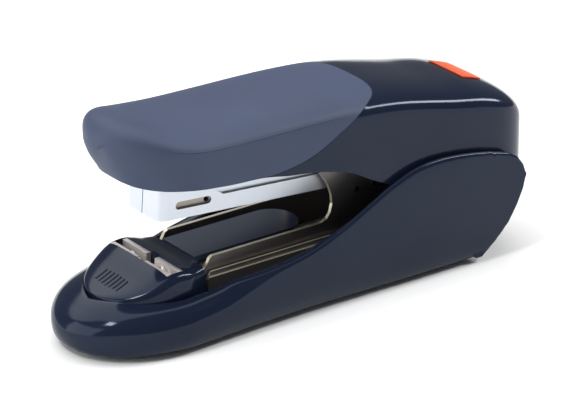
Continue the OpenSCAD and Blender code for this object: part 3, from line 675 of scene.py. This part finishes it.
def channel_steel(name, front_end):
    """Pale plating, turning to a warm grey ahead of front_end along X."""
    mat, tree, shader = new_material(name)
    place = tree.nodes.new("ShaderNodeTexCoord")
    split = tree.nodes.new("ShaderNodeSeparateXYZ")
    rear = tree.nodes.new("ShaderNodeMath")
    rear.operation = "GREATER_THAN"
    rear.inputs[1].default_value = front_end
    tree.links.new(place.outputs["Object"], split.inputs["Vector"])
    tree.links.new(split.outputs["X"], rear.inputs[0])
    front_grey, pale = (0.30, 0.27, 0.24), (0.62, 0.66, 0.72)
    colour = ramp(tree, rear.outputs["Value"], [(0.2, front_grey), (0.8, pale)])
    tree.links.new(colour, shader.inputs["Base Color"])
    vary(tree, noise(tree, 200), 0.34, 0.42, shader.inputs["Roughness"])
    shader.inputs["Metallic"].default_value = 0.8
    return mat


WINDOW_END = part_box("magazine_shell")[0][0] + 13.2 * MM    # rear of the window in the magazine's side

COOL_SHEEN = (0.72, 0.84, 1.0)

# name, darker and lighter colour, range of roughness, then metallic where it is a metal
materials = {
    "gloss_navy": surface("gloss_navy", (0.007, 0.011, 0.025), (0.010, 0.015, 0.032), (0.10, 0.15),
                          scale=40, specular=0.23, tint=COOL_SHEEN),
    # a lighter copy of the navy, painted light: it stands in for the light that the handle shades off the
    # table plate
    "table_navy_painted_light": surface("table_navy_painted_light", (0.040, 0.052, 0.090), (0.046, 0.060, 0.102), (0.25, 0.35),
                          scale=60, tint=COOL_SHEEN),
    "soft_grip": surface("soft_grip", (0.043, 0.057, 0.102), (0.049, 0.065, 0.114), (0.52, 0.62), scale=60,
                         bump=0.12, specular=0.25),
    "black_plastic": surface("black_plastic", (0.012, 0.012, 0.014), (0.022, 0.022, 0.025), (0.4, 0.55),
                             bump=0.1),
    "rubber": surface("rubber", (0.010, 0.010, 0.011), (0.020, 0.020, 0.021), (0.7, 0.85), bump=0.2),
    # dark_steel: dark faces, with a painted highlight on every face that does not face sideways
    "dark_steel": steel_painted_edge_highlight("dark_steel", (0.15, 0.14, 0.135), (0.85, 0.77, 0.62)),
    "bright_steel": surface("bright_steel", (0.62, 0.60, 0.57), (0.72, 0.70, 0.67), (0.2, 0.32), 1.0),
    "plated_steel": surface("plated_steel", (0.60, 0.635, 0.70), (0.65, 0.685, 0.745), (0.34, 0.42), 0.8),
    "chrome": surface("chrome", (0.80, 0.76, 0.73), (0.88, 0.84, 0.81), (0.20, 0.30), 0.6),
    "channel_steel": channel_steel("channel_steel", WINDOW_END),
    "spring_steel": surface("spring_steel", (0.40, 0.40, 0.41), (0.52, 0.52, 0.53), (0.25, 0.35), 1.0),
    "badge_orange": surface("badge_orange", (0.60, 0.075, 0.012), (0.68, 0.090, 0.016), (0.34, 0.42),
                            specular=0.3),
}

for part in frame["record"]["subparts"]:
    node = frame["nodes"][part["node"]]
    node.data.materials.clear()
    node.data.materials.append(materials[part["material_slot"]])
# the table plate takes the lighter navy: painted light in place of the shade the handle casts on it
frame["nodes"]["table_plate"].data.materials[0] = materials["table_navy_painted_light"]
frame["nodes"]["magazine_channel"].data.materials[0] = materials["channel_steel"]

SOFT_EDGES = {
    "magazine_shell": 0.10, "magazine_channel": 0.08, "table_frame": 0.10, "base_frame": 0.12,
    "handle_frame": 0.10, "table_plate": 0.15, "anvil_front_plate": 0.12, "anvil_rear_plate": 0.12,
    "staple_rail": 0.08, "bottom_cover": 0.25, "front_foot": 0.2, "rear_foot": 0.2, "pusher": 0.1,
    "clincher_wing_left": 0.08, "clincher_wing_right": 0.08, "rod_stop": 0.08, "rod_clip": 0.08,
    "pivot_pin": 0.15, "base_screws": 0.08, "driver_holder": 0.08, "clincher_lifter": 0.1,
}
for name, width in SOFT_EDGES.items():
    add_bevel(frame["nodes"][name], width, 2, 35)

for obj, body, node, slot in (
    (grip, "handle", "grip_pad", "soft_grip"),
    (cover, "handle", "handle_cover", "gloss_navy"),
    (base, "base", "base_shell", "gloss_navy"),
    (rear_wall, "base", "base_shell", "gloss_navy"),
    (block, "table", "clinch_cover", "gloss_navy"),
):
    obj.data.materials.append(materials[slot])
    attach(obj, body)
    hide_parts(node)
for trims, body, slot in ((ribs, "table", "gloss_navy"), (beads, "handle", "soft_grip")):
    for trim in trims:
        trim.data.materials.append(materials[slot])
        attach(trim, body)

# ---------- floor, light and camera ----------

floor_mat, floor_tree, floor_shader = new_material("studio_white")
floor_tree.links.new(
    ramp(floor_tree, noise(floor_tree, 2.0), [(0.3, (0.90, 0.90, 0.90)), (0.7, (0.92, 0.92, 0.92))]),
    floor_shader.inputs["Base Color"])
floor_shader.inputs["Roughness"].default_value = 0.9
bpy.ops.mesh.primitive_plane_add(size=12, location=(0, 0, 0))
floor = bpy.context.object
floor.name = "studio_floor"
floor.data.materials.append(floor_mat)

world = bpy.data.worlds.new("studio")
scene.world = world
world.use_nodes = True
world.node_tree.nodes["Background"].inputs["Color"].default_value = (0.96, 0.98, 1.0, 1)
world.node_tree.nodes["Background"].inputs["Strength"].default_value = 0.19


def soft_light(name, place, aim, size, power, spin=0):
    data = bpy.data.lights.new(name, "AREA")
    data.shape = "RECTANGLE"
    data.size, data.size_y = size
    data.energy = power
    lamp = bpy.data.objects.new(name, data)
    scene.collection.objects.link(lamp)
    lamp.location = place
    turn = (Vector(aim) - Vector(place)).to_track_quat("-Z", "Y")
    lamp.rotation_euler = (turn @ Quaternion((0, 0, 1), math.radians(spin))).to_euler()


CENTRE = Vector((0.001, 0, 0.02))
soft_light("overhead", (0.0, 0.4, 1.0), CENTRE, (1.3, 1.3), 12.0)
soft_light("left_fill", (-1.0, 0.30, 0.35), CENTRE, (1.1, 0.9), 7.6)
soft_light("shoulder_strip", (0.79, -0.32, 0.70), CENTRE, (0.8, 0.18), 9.0, spin=-41)
soft_light("nose_spot", (-0.62, -0.11, 0.90), CENTRE, (0.2, 0.2), 3.8)

TURN, LIFT, REACH = math.radians(-36.3), math.radians(23.8), 0.8
target = Vector(((3.5 - DATUM_X) * MM, 0, 0.0178))
back = Vector((math.sin(TURN) * math.cos(LIFT), -math.cos(TURN) * math.cos(LIFT), math.sin(LIFT)))
camera_data = bpy.data.cameras.new("view")
camera_data.lens = 235.8
camera_data.sensor_width = 36
camera_data.clip_end = 50
camera = bpy.data.objects.new("view", camera_data)
scene.collection.objects.link(camera)
camera.location = target + back * REACH
camera.rotation_euler = (-back).to_track_quat("-Z", "Y").to_euler()
scene.camera = camera
scene.view_settings.view_transform = "Standard"
